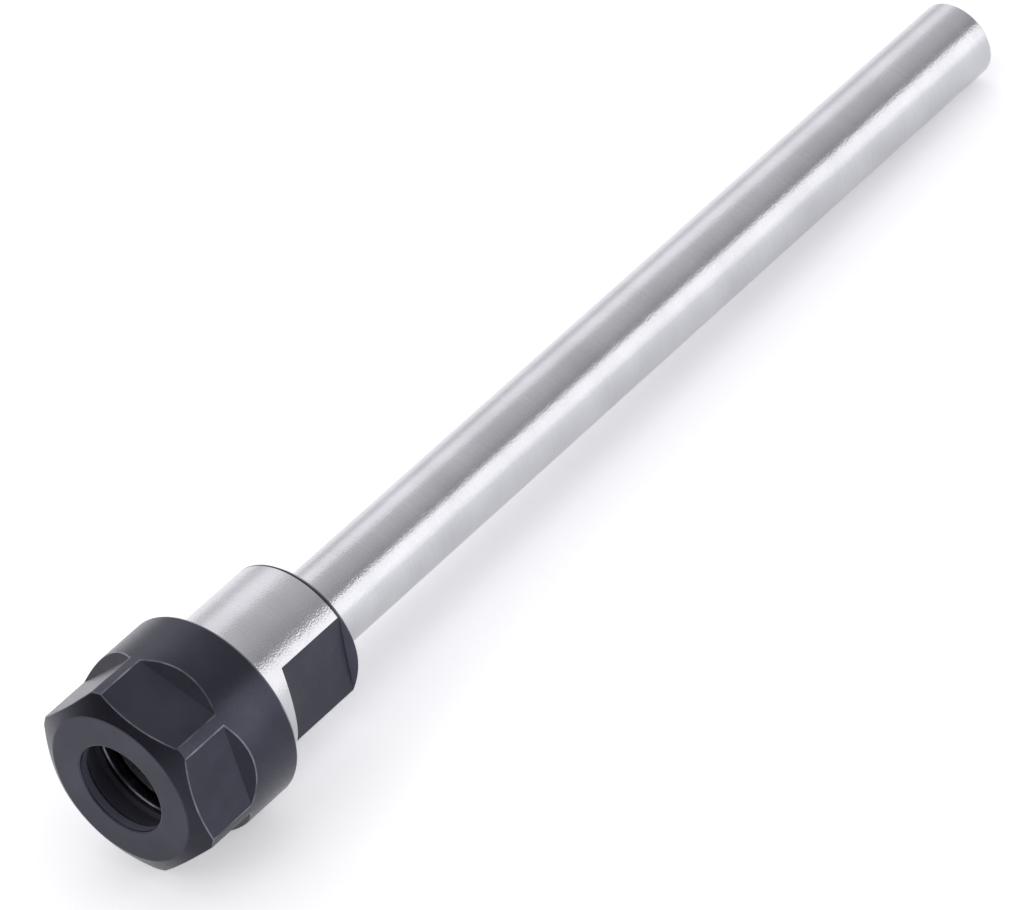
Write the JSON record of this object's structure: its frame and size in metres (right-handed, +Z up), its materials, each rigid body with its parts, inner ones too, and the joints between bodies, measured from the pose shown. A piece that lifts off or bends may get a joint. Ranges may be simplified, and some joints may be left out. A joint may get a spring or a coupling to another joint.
{
  "type": "collet chuck extension",
  "caption": "Straight round shank with a larger head, two wrench flats and a hex clamping nut over an internal collet taper, for reaching deep with a small tool.",
  "frame": {"origin": "on the tool's axis at the shoulder where the shank meets the head", "axes": "+X along the axis from the shank's tail to the nut's front face, +Y out of one wrench flat of the head, +Z up"},
  "size_m": [0.1244, 0.019, 0.019],
  "materials": {
    "ground_steel": "ground bright",
    "black_steel": "black oxide, satin"
  },
  "bodies": {
    "chuck_body": {"chuck_body": "ground_steel"},
    "clamping_nut": {"clamping_nut": "black_steel"}
  },
  "joints": [
    {"name": "nut_turn", "type": "hinge", "parent": "chuck_body", "child": "clamping_nut", "pos_m": [0, 0, 0], "axis": [1, 0, 0], "continuous": true}
  ]
}
